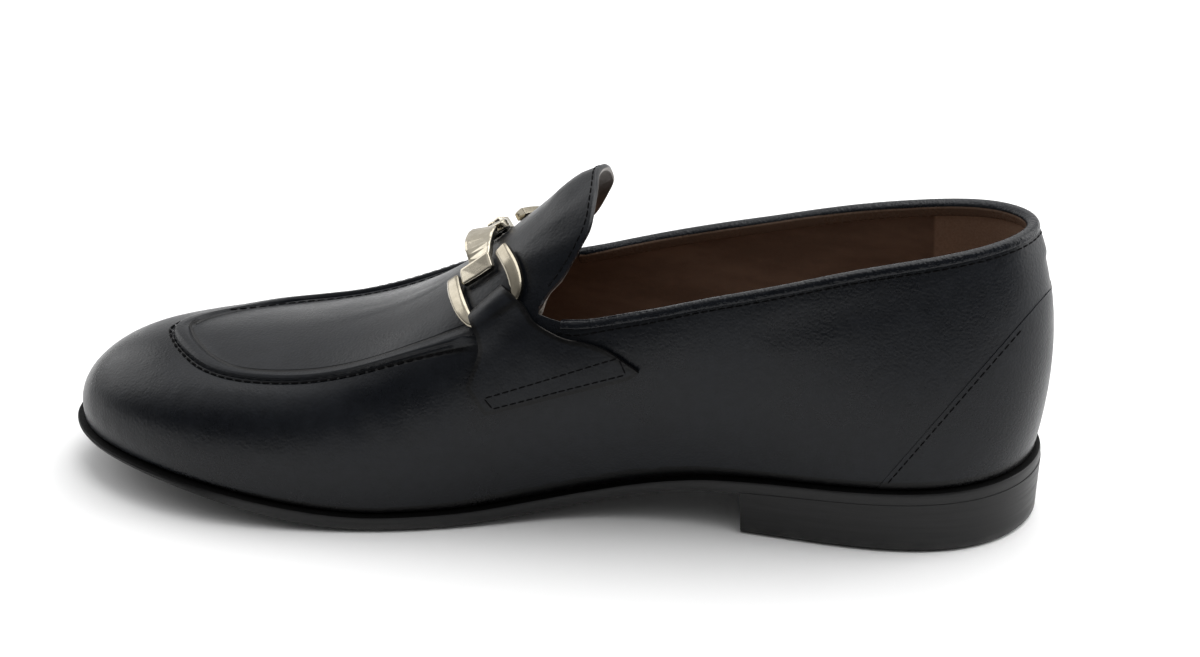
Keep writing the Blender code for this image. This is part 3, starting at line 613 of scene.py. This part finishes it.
# Soft creases in the leather: places along each, how far it reaches and how deep it goes
Crease = namedtuple("Crease", "places reach depth")
CREASES = [
    Crease([(178, -46.0, 22), (181, -44.2, 32), (184, -38.0, 42)], 7.0, 0.35),
    Crease([(190, -47.2, 20), (193, -45.0, 31), (197, -38.0, 40)], 6.0, 0.28),
    Crease([(181, 46.0, 22), (184, 44.2, 32), (187, 38.0, 42)], 7.0, 0.40),
    Crease([(193, 47.2, 20), (196, 45.0, 31), (200, 38.0, 40)], 6.0, 0.30),
    Crease([(176, -26.0, 60), (179, -12.0, 63), (181, 0.0, 64)], 6.0, 0.22),
    Crease([(106, -38.0, 44), (111, -38.5, 50), (118, -36.0, 58)], 5.0, 0.30),
    Crease([(100, -38.0, 40), (104, -38.5, 46)], 5.0, -0.20),
    Crease([(106, 38.0, 44), (111, 38.5, 50), (118, 36.0, 58)], 5.0, 0.30),
    Crease([(136, 0.0, 98.6), (139.5, -2.0, 96)], 9.0, -1.3),
    Crease([(151, 2.0, 85.5), (146, -9.0, 88)], 8.0, 0.3),
    Crease([(143, -14.0, 86), (138.5, -16.5, 89)], 6.0, 0.35),
    Crease([(148, -17.0, 80), (142, -20.0, 82)], 6.0, -0.3),
    Crease([(172, 28.6, 57), (189, 27.2, 51), (205, 26.6, 46), (222, 25.2, 43), (238, 22.2, 41),
            (250, 16.6, 40), (258, 9.4, 41)], 3.4, -0.85),
    Crease([(30, -30.0, 78), (52, -31.0, 74), (74, -33.0, 68)], 8.0, 0.25),
    Crease([(34, 30.0, 78), (56, 31.0, 74), (78, 33.0, 68)], 8.0, 0.30),
]


def press_creases(piece, creases):
    """Soft troughs along the outer face, ridges where the depth is below nought"""
    mesh = piece.data
    points = vertex_places(piece)
    normals = np.array([v.normal for v in mesh.vertices])
    outer = np.zeros(len(points), bool)
    for face in mesh.polygons:
        if face.material_index != INSIDE:
            outer[list(face.vertices)] = True
    shift = np.zeros(len(points))
    for crease in creases:
        near = row_distance(points, np.array([spot(*place) for place in crease.places]))
        reach = crease.reach * MM
        shift -= crease.depth * MM * np.where(near < reach, np.cos(near / reach * math.pi / 2) ** 2, 0.0)
    points += normals * (shift * outer)[:, None]
    mesh.vertices.foreach_set("co", points.ravel())
    mesh.update()


# Counter round the heel: its front edge lies in a slanting plane on each side
COUNTER_WAY = (0.797, 0.269, 0.541)
COUNTER_REACH = 38.2
COUNTER_RAISE = 0.22
COUNTER_FRONT = 70.0
# Each side's cut runs this far over the middle, and faces that look down more than this stay as they are
COUNTER_OVERLAP = 3.0
COUNTER_UNDER = -0.6


def counter_cut(side):
    """A place in the plane of the counter's front edge, and the plane's direction"""
    way = Vector((-COUNTER_WAY[0], -side * COUNTER_WAY[1], COUNTER_WAY[2])).normalized()
    return spot(COUNTER_REACH / COUNTER_WAY[0], 0.0), way


def raise_counter(piece):
    """Cut the outer face along the counter's edge and lift what lies behind it"""
    cuts = {side: counter_cut(side) for label, side in SIDES}

    def at_heel(face):
        return face.material_index == OUTSIDE and station_of(face.center.x) < COUNTER_FRONT

    def behind(face):
        place, way = cuts[-1.0 if face.center.y < MIDDLE_Y else 1.0]
        return at_heel(face) and (face.center - place).dot(way) < 0 and face.normal.z > COUNTER_UNDER

    for side, (place, way) in cuts.items():
        choose(piece, "FACE", lambda face: (
            at_heel(face) and (face.center.y - MIDDLE_Y) * side > -COUNTER_OVERLAP * MM))
        bpy.ops.mesh.bisect(plane_co=place, plane_no=way)
        close_edit()
    choose(piece, "FACE", behind)
    bpy.ops.mesh.extrude_region_shrink_fatten(
        TRANSFORM_OT_shrink_fatten={"value": COUNTER_RAISE * MM})
    close_edit()


# Stitch rows along the apron in plan, round it and inside its far edge: station and width
APRON_ROW = [
    (164, -31.7), (177, -31.9), (189, -32.3), (201, -32.5), (214, -32.2), (228, -31.1), (239, -28.9),
    (249, -24.2), (257, -17.5), (262.6, -11.0), (265.9, -3.7), (262.6, 4.6), (257, 11.3), (249, 18.4),
    (239, 23.3), (228, 25.9), (214, 27.6), (201, 28.2), (189, 28.7), (177, 29.7), (164, 31.3),
]
FAR_ROW = [
    (252, 10.4), (245, 15.6), (236, 19.4), (226, 21.6), (214, 22.9), (201, 23.5), (189, 24.0),
    (177, 25.0), (168, 26.2),
]
# How far the apron is taken to run on behind its seam, and places on each step of its outline
APRON_TAIL = 30.0
APRON_STEPS = 6

# Dark band of the upper along the sole, painted shade of the crease there and partly black edge ink: height
# of the band by station
SOLE_SHADE_BAND = [(0, 3.4), (40, 3.2), (70, 3.0), (95, 4.0), (120, 5.0), (150, 4.2), (180, 2.8), (215, 2.0),
        (235, 1.0), (258, 0.5), (300, 0.6)]
BAND_STEPS = 90
BAND_REACH = 1.6


def mark_sole_shade(piece):
    """Vertex shares of painted shade, partly edge ink, that darken the upper towards the sole"""
    xs = sole_points[:, 0]
    steps = np.linspace(xs.min(), xs.max(), BAND_STEPS)
    reach = (steps[1] - steps[0]) * BAND_REACH
    tops = np.array([sole_points[np.abs(xs - x) < reach, 2].max() for x in steps])
    points = vertex_places(piece)
    above = points[:, 2] - np.interp(points[:, 0], steps, tops)
    stations, heights = zip(*SOLE_SHADE_BAND)
    high = np.interp(station_of(points[:, 0]), stations, heights) * MM
    store(piece, "band", 1.0 - above / high)


def mark_apron(piece):
    """Distance inside the apron's stitch row in plan, in millimetres, below nought outside it"""
    tail = SEAM_BACK[0] - APRON_TAIL
    row = [(tail, APRON_ROW[0][1])] + APRON_ROW + [(tail, APRON_ROW[-1][1])]
    path = np.array([place[:2] for place in soft_path([(s, y, 0.0) for s, y in row], APRON_STEPS)])
    points = vertex_places(piece)
    flat = np.stack([station_of(points[:, 0]), (points[:, 1] - MIDDLE_Y) / MM], axis=1)
    near = row_distance(flat, path)
    crossed = np.zeros(len(flat), int)
    for a, b in zip(path[:-1], path[1:]):
        spans = (a[1] > flat[:, 1]) != (b[1] > flat[:, 1])
        ahead = a[0] + (flat[:, 1] - a[1]) * (b[0] - a[0]) / (b[1] - a[1] if b[1] != a[1] else 1.0)
        crossed += spans & (flat[:, 0] < ahead)
    store(piece, "apron", np.where(crossed % 2 == 1, near, -near))


upper = node_copy("upper", "upper_shell")
give(upper, calf, lining, tongue_edge)
line_shell(upper)
crease_sharp(upper, UPPER_SHARP, UPPER_FIRM)
refine(upper, UPPER_LEVELS)
press_creases(upper, CREASES)
raise_counter(upper)
mark_sole_shade(upper)
mark_apron(upper)
smooth(upper, UPPER_SMOOTH)
place_piece(upper, "upper_leather", "upper")
upper_tree = polygon_tree(upper)

# Smooth copies of the other solids: edges sharper than an angle stay firm by a share
WING_MERGE = 0.06
PART_SMOOTH = 40
Part = namedtuple("Part", "node piece finish slot levels sharp firm merge")
PARTS = [
    Part("outsole", "outsole_body", sole_edge, "sole_leather", 2, 35, 0.97, MERGE),
    Part("heel", "heel_body", heel_edge, "heel_stack", 2, 35, 1.0, MERGE),
    Part("insole", "sock_lining", sock, "insole_leather", 2, 35, 0.6, MERGE),
    Part("collar_binding", "collar_tape", binding_calf, "binding_leather", 2, 80, 0.4, MERGE),
    Part("saddle_wing_medial", "wing_medial", wing_calf, "wing_leather", 2, 50, 0.95, WING_MERGE),
    Part("saddle_wing_lateral", "wing_lateral", wing_calf, "wing_leather", 2, 50, 0.95, WING_MERGE),
    Part("bit_ring_medial", "ring_medial", ring_metal_shaded, "bit_metal", 2, 28, 0.75, MERGE),
    Part("bit_ring_lateral", "ring_lateral", ring_metal_shaded, "bit_metal", 2, 28, 0.75, MERGE),
]
made = {}

# The heel's top, which is what looks up more than this, is lifted in millimetres and widened by a share
HEEL_TOP = 0.8
HEEL_JOINT = 1.0
HEEL_FLUSH = 1.0055


def close_joint(piece):
    """Lift the heel's top face against the outsole and bring it flush with the edge"""
    choose(piece, "FACE", lambda face: face.normal.z > HEEL_TOP)
    bpy.ops.transform.translate(value=(0.0, 0.0, HEEL_JOINT * MM))
    bpy.ops.transform.resize(value=(HEEL_FLUSH, HEEL_FLUSH, 1.0))
    close_edit()


for part in PARTS:
    piece = node_copy(part.node, part.piece, part.merge)
    if part.node == "heel":
        close_joint(piece)
    if part.slot == "wing_leather":
        join_pairs(piece)
    crease_sharp(piece, part.sharp, part.firm)
    refine(piece, part.levels)
    smooth(piece, PART_SMOOTH)
    give(piece, part.finish)
    place_piece(piece, part.slot, part.node)
    made[part.piece] = piece

# Links of the bit: an even mesh this fine in millimetres, its edges worn round in some passes
LINK_MERGE = 0.06
LINK_MESH = 0.16
LINK_WEAR = 4
LINK_SMOOTH = 60
for label, side in SIDES:
    piece = node_copy("bit_link_" + label, "link_" + label, LINK_MERGE)
    finish_step(piece, "REMESH", mode="VOXEL", voxel_size=LINK_MESH * MM)
    keep_main(piece)
    finish_step(piece, "SMOOTH", factor=0.5, iterations=LINK_WEAR)
    smooth(piece, LINK_SMOOTH)
    give(piece, link_metal_lit)
    place_piece(piece, "bit_metal", "bit_link_" + label)
    made["link_" + label] = piece

# Outsole: black on its upper face, edge ink and painted shade of the ledge under the upper
WELT_LEAN = 0.6
outsole = made["outsole_body"]
give(outsole, sole_edge, welt_top)
for face in outsole.data.polygons:
    face.material_index = 1 if face.normal.z > WELT_LEAN else 0

# Binding: what turns inside below the top is lining, with the leather's pale cut edge between
FOLD_REACH = 4.0
FOLD_AXIS = (28.0, 112.0)
FOLD_FACING = 0.1


def mark_fold(piece):
    """Drop of each inner vertex below the top of the binding near it, in millimetres"""
    vertices = piece.data.vertices
    tree = place_tree([(v.co.x, v.co.y, 0.0) for v in vertices])
    drops = []
    for v in vertices:
        station = min(max(station_of(v.co.x), FOLD_AXIS[0]), FOLD_AXIS[1])
        inward = spot(station, 0.0) - v.co
        inward.z = 0.0
        near = tree.find_range((v.co.x, v.co.y, 0.0), FOLD_REACH * MM)
        top = max(vertices[index].co.z for place, index, far in near)
        facing = v.normal.dot(inward.normalized())
        drops.append((top - v.co.z) / MM if facing > FOLD_FACING else 0.0)
    store(piece, "fold", drops)


mark_fold(made["collar_tape"])

# Wings: raw cut edge all round, painted near black for the shade along it
EDGE_LEAN = 0.5
EDGE_SHARES = (0.0, 0.25, 0.5, 0.75)


def mark_border(piece):
    """Distance of each vertex from the cut edge, in millimetres"""
    points = vertex_places(piece)
    rim = set()
    for face in piece.data.polygons:
        if face.material_index == 1:
            rim.update(face.edge_keys)
    ends = points[np.array(sorted(rim))]
    tree = place_tree(np.vstack([ends[:, 0] + (ends[:, 1] - ends[:, 0]) * share for share in EDGE_SHARES]))
    store(piece, "border", [tree.find(point)[2] / MM for point in points])


for label, side in SIDES:
    wing = made["wing_" + label]
    give(wing, wing_calf, wing_edge)
    for face in wing.data.polygons:
        normal = upper_tree.find_nearest(face.center)[1]
        face.material_index = 1 if abs(face.normal.dot(normal)) < EDGE_LEAN else 0
    mark_border(wing)

# Stitches: spacing, length, thickness and how deep they lie, in millimetres
Seam = namedtuple("Seam", "pitch length thick sink")
FINE_SEAM = Seam(2.5, 2.0, 0.45, 0.2)
APRON_SEAM = Seam(3.1, 2.3, 0.6, 0.25)
# One stitch a unit long and thick: sides, length of its bar and of each end, and the ends' share
STITCH_SIDES = 8
STITCH_BAR = 0.64
STITCH_END = 0.18
STITCH_DRAWN = 0.45
STITCH_SMOOTH = 60
# Directions along a row are taken over this much either way
STITCH_LOOK = 0.2


def thread_stitch():
    """One stitch along X: a round bar with drawn-in ends"""
    bpy.ops.object.select_all(action="DESELECT")
    bpy.ops.mesh.primitive_cylinder_add(
        vertices=STITCH_SIDES, radius=0.5, depth=STITCH_BAR, rotation=(0.0, math.pi / 2, 0.0))
    piece = bpy.context.object
    bpy.ops.object.transform_apply(location=True, rotation=True, scale=True)
    for end in (-1.0, 1.0):
        choose(piece, "FACE", lambda face: face.normal.x * end > 0.9)
        bpy.ops.mesh.extrude_region_move(TRANSFORM_OT_translate={"value": (STITCH_END * end, 0.0, 0.0)})
        bpy.ops.transform.resize(
            value=(1.0, STITCH_DRAWN, STITCH_DRAWN), center_override=(0.5 * end, 0.0, 0.0))
        close_edit()
    points = vertex_places(piece)
    faces = [np.array(face.vertices) for face in piece.data.polygons]
    bpy.data.objects.remove(piece, do_unlink=True)
    return points, faces


stitch_points, stitch_faces = thread_stitch()


def even_places(path, pitch):
    """Places and directions at even steps along a row of places"""
    path = np.array(path)
    steps = np.linalg.norm(np.diff(path, axis=0), axis=1)
    length = np.concatenate([[0.0], np.cumsum(steps)])
    count = max(2, int(length[-1] / pitch))
    want = (np.arange(count) + 0.5) * length[-1] / count

    def at(shift):
        return np.stack([np.interp(want + shift, length, path[:, k]) for k in range(3)], axis=1)

    return at(0.0), at(STITCH_LOOK * MM) - at(-STITCH_LOOK * MM)


def sew(name, rows, tree, seam, slot):
    """Rows of stitches laid on a surface, joined as one piece"""
    points = []
    faces = []
    for row in rows:
        at, ahead = even_places(row, seam.pitch * MM)
        for place, way in zip(at, ahead):
            place, normal, _, _ = tree.find_nearest(Vector(place))
            way = Vector(way)
            way = (way - normal * way.dot(normal)).normalized()
            across = normal.cross(way)
            middle = place + normal * (0.5 * seam.thick - seam.sink) * MM
            turn = np.array([way * seam.length, across * seam.thick, normal * seam.thick]) * MM
            faces += [face + len(points) * len(stitch_points) for face in stitch_faces]
            points.append(stitch_points @ turn + np.array(middle))
    mesh = bpy.data.meshes.new(name)
    mesh.from_pydata(np.vstack(points).tolist(), [], [face.tolist() for face in faces])
    piece = bpy.data.objects.new(name, mesh)
    bpy.context.scene.collection.objects.link(piece)
    give(piece, thread)
    smooth(piece, STITCH_SMOOTH)
    place_piece(piece, slot)


def onto(tree, start, way):
    return tree.ray_cast(start, way)[0]


# Row under the collar's binding: the topline's places, then out from it and down
COLLAR_ROW = [
    (137, -29.4, 65.9), (131, -29.6, 65.5), (122, -29.4, 67.5), (110, -29.2, 70.2), (96, -29.0, 74.0),
    (82, -28.4, 77.2), (69, -27.2, 80.1), (55, -25.2, 83.2), (42, -23.4, 85.6), (29, -21.0, 87.7),
    (17, -16.6, 89.5), (8, -9.4, 90.7), (4.2, 0.3, 90.9), (8, 9.8, 90.3), (17, 17.0, 89.2),
    (29, 21.4, 87.3), (42, 24.0, 85.0), (55, 26.2, 82.3), (69, 28.4, 78.8), (82, 30.2, 75.3),
    (96, 31.4, 72.0), (110, 31.8, 68.7), (122, 31.8, 65.7), (131, 31.4, 63.4), (140, 31.0, 61.5),
]
COLLAR_MIDDLE = 70.0
COLLAR_OUT = 5.0
COLLAR_DROP = 1.2
# Row in front of the tongue's rim: widths, distance from the rim, lowest height, stations tried for the rim
TONGUE_WIDTHS = (-25.0, -22.5, -19.5, -16.5, -12.4, -7.0, 0.0, 7.0, 12.4, 16.5, 19.5, 22.5, 25.0)
TONGUE_INSET = 1.9
TONGUE_FOOT = 62.0
TONGUE_TRIES = np.arange(122.0, 152.0, 0.2)
# Rows on the wings, seen from the side at this lean: station and level
WING_LEAN = 30.0
WING_ROWS = [
    [(157.2, 19.5), (137.5, 26.4), (118.6, 33.2)],
    [(155.0, 16.6), (134.7, 23.0), (116.6, 28.6)],
    [(118.0, 32.6), (116.4, 29.2)],
    [(157.0, 18.9), (155.4, 17.1)],
]
WING_STEPS = 7
# Row behind the counter's edge: heights, hindmost station, halvings of the search, distance from the edge
COUNTER_HEIGHTS = np.linspace(22.0, 66.0, 24)
COUNTER_BACK = 4.0
COUNTER_HALVINGS = 14
COUNTER_STEPS = 4
SEAM_OFFSET = 1.4
# Heights and widths well clear of the shoe
OVER_SHOE = 160.0
ASIDE_WING = 120.0
ASIDE_HEEL = 90.0


def collar_path():
    """Row a little below the binding"""
    places = []
    rows = [spot(*row) for row in COLLAR_ROW]
    for i, place in enumerate(rows):
        along = rows[min(i + 1, len(rows) - 1)] - rows[max(i - 1, 0)]
        out = Vector((-along.y, along.x, 0.0)).normalized()
        inside = spot(COLLAR_MIDDLE, 0.0) - place
        if out.x * inside.x + out.y * inside.y > 0:
            out = -out
        lower = place + out * COLLAR_OUT * MM - Vector((0.0, 0.0, COLLAR_DROP * MM))
        places.append(upper_tree.find_nearest(lower)[0])
    return soft_path(places)


def tongue_path():
    """Row a little in front of the tongue's rim"""
    places = []
    for width in TONGUE_WIDTHS:
        for station in TONGUE_TRIES:
            hit = onto(upper_tree, spot(station, width, OVER_SHOE), DOWN)
            if hit and hit.z > TONGUE_FOOT * MM:
                break
        places.append(onto(upper_tree, spot(station + TONGUE_INSET, width, OVER_SHOE), DOWN))
    return soft_path(places)


def plan_path(row):
    """Row of places in plan, dropped on the upper"""
    return soft_path([onto(upper_tree, spot(station, width, OVER_SHOE), DOWN) for station, width in row])


def wing_path(row, side, tree):
    """Row of places seen from the side, thrown on a wing"""
    lean = math.radians(WING_LEAN)
    way = Vector((0.0, -side * math.cos(lean), -math.sin(lean)))
    places = []
    for (a, c), (b, d) in zip(row[:-1], row[1:]):
        for k in range(WING_STEPS + 1):
            station = a + (b - a) * k / WING_STEPS
            level = c + (d - c) * k / WING_STEPS
            height = (level + ASIDE_WING * math.sin(lean)) / math.cos(lean)
            hit = onto(tree, spot(station, side * ASIDE_WING, height), way)
            if hit:
                places.append(hit)
    return places


def counter_path(side):
    """Row on the raised counter, a little behind its front edge"""
    place, way = counter_cut(side)
    place = place - way * SEAM_OFFSET * MM
    inward = Vector((0.0, -side, 0.0))
    places = []
    for height in COUNTER_HEIGHTS:
        back = COUNTER_BACK
        front = COUNTER_FRONT
        for halving in range(COUNTER_HALVINGS):
            station = (back + front) / 2
            hit = onto(upper_tree, spot(station, side * ASIDE_HEEL, height), inward)
            if hit is None or (hit - place).dot(way) < 0:
                back = station
            else:
                front = station
        places.append(onto(upper_tree, spot(front, side * ASIDE_HEEL, height), inward))
    return soft_path(places, COUNTER_STEPS)


sew("collar_stitches", [collar_path()], upper_tree, FINE_SEAM, "upper_leather")
sew("tongue_stitches", [tongue_path()], upper_tree, FINE_SEAM, "upper_leather")
sew("apron_stitches", [plan_path(APRON_ROW), plan_path(FAR_ROW)], upper_tree, APRON_SEAM, "upper_leather")
sew("counter_stitches", [counter_path(side) for label, side in SIDES], upper_tree, FINE_SEAM, "upper_leather")
for label, side in SIDES:
    wing_tree = polygon_tree(made["wing_" + label])
    rows = [wing_path(row, side, wing_tree) for row in WING_ROWS]
    sew("wing_stitches_" + label, rows, wing_tree, FINE_SEAM, "wing_leather")

# Stage
FLOOR_SIZE = 12.0
FLOOR_DROP = 0.4
# The room is brightest in this direction, between these shares of it, and dim the other way
ROOM_WAY = (0.0, 0.70, 0.71)
ROOM_SPAN = (-0.2, 0.7)
ROOM_DIM = 0.12
Lamp = namedtuple("Lamp", "name place aim size watts")
LAMPS = [
    Lamp("overhead", (0.35, 0.35, 1.4), (0.0, 0.0, 0.0), (2.2, 1.6), 25.0),
    Lamp("toe_side", (-1.3, 0.5, 0.7), (-0.1, 0.0, 0.05), (0.9, 0.9), 3.5),
    Lamp("heel_side", (1.3, 0.35, 0.5), (0.1, 0.0, 0.05), (0.9, 0.9), 8.5),
]


def add_floor():
    bpy.ops.object.select_all(action="DESELECT")
    bpy.ops.mesh.primitive_plane_add(size=FLOOR_SIZE, location=(0.0, 0.0, -FLOOR_DROP * MM))
    floor = bpy.context.object
    floor.name = "floor"
    make = Recipe("pale_floor")
    tone = make.cloud(size=900.0, detail=2.0)
    give(floor, make.set(
        Base_Color=make.blend(tone, rgb(0.86, 0.86, 0.86), rgb(0.90, 0.90, 0.90)),
        Roughness=0.75, Specular_IOR_Level=0.1))


def add_room():
    """Pale room above and behind the shoe, dim behind the camera"""
    world = bpy.data.worlds.new("room")
    bpy.context.scene.world = world
    world.use_nodes = True
    nodes = world.node_tree.nodes
    links = world.node_tree.links
    coords = nodes.new("ShaderNodeTexCoord").outputs["Generated"]
    way = nodes.new("ShaderNodeVectorMath")
    way.operation = "DOT_PRODUCT"
    way.inputs[1].default_value = ROOM_WAY
    links.new(coords, way.inputs[0])
    ramp = nodes.new("ShaderNodeMapRange")
    ramp.interpolation_type = "SMOOTHSTEP"
    ramp.inputs["From Min"].default_value = ROOM_SPAN[0]
    ramp.inputs["From Max"].default_value = ROOM_SPAN[1]
    ramp.inputs["To Min"].default_value = ROOM_DIM
    ramp.inputs["To Max"].default_value = 1.0
    links.new(way.outputs["Value"], ramp.inputs["Value"])
    back = nodes["Background"]
    back.inputs["Color"].default_value = rgb(1.0, 1.0, 1.0)
    links.new(ramp.outputs["Result"], back.inputs["Strength"])


def add_camera():
    data = bpy.data.cameras.new("camera")
    data.lens = CAMERA_LENS
    data.sensor_width = CAMERA_SENSOR
    data.sensor_fit = "HORIZONTAL"
    camera = bpy.data.objects.new("camera", data)
    bpy.context.scene.collection.objects.link(camera)
    turn = (Matrix.Rotation(-math.radians(CAMERA_YAW), 4, "Z")
            @ Matrix.Rotation(math.radians(90 - CAMERA_PITCH), 4, "X")
            @ Matrix.Rotation(math.radians(CAMERA_ROLL), 4, "Z"))
    place = spot(CAMERA_STATION, CAMERA_WIDTH, CAMERA_HEIGHT)
    camera.matrix_world = Matrix.Translation(place) @ turn
    bpy.context.scene.camera = camera


def add_lamp(name, place, aim, size, watts):
    """Flat lamp that looks at a place"""
    light = bpy.data.lights.new(name, "AREA")
    light.shape = "RECTANGLE"
    light.size, light.size_y = size
    light.energy = watts
    lamp = bpy.data.objects.new(name, light)
    bpy.context.scene.collection.objects.link(lamp)
    lamp.location = place
    lamp.rotation_euler = (Vector(aim) - Vector(place)).to_track_quat("-Z", "Y").to_euler()


add_floor()
add_room()
add_camera()
for lamp in LAMPS:
    add_lamp(*lamp)
bpy.context.scene.view_settings.view_transform = "Standard"
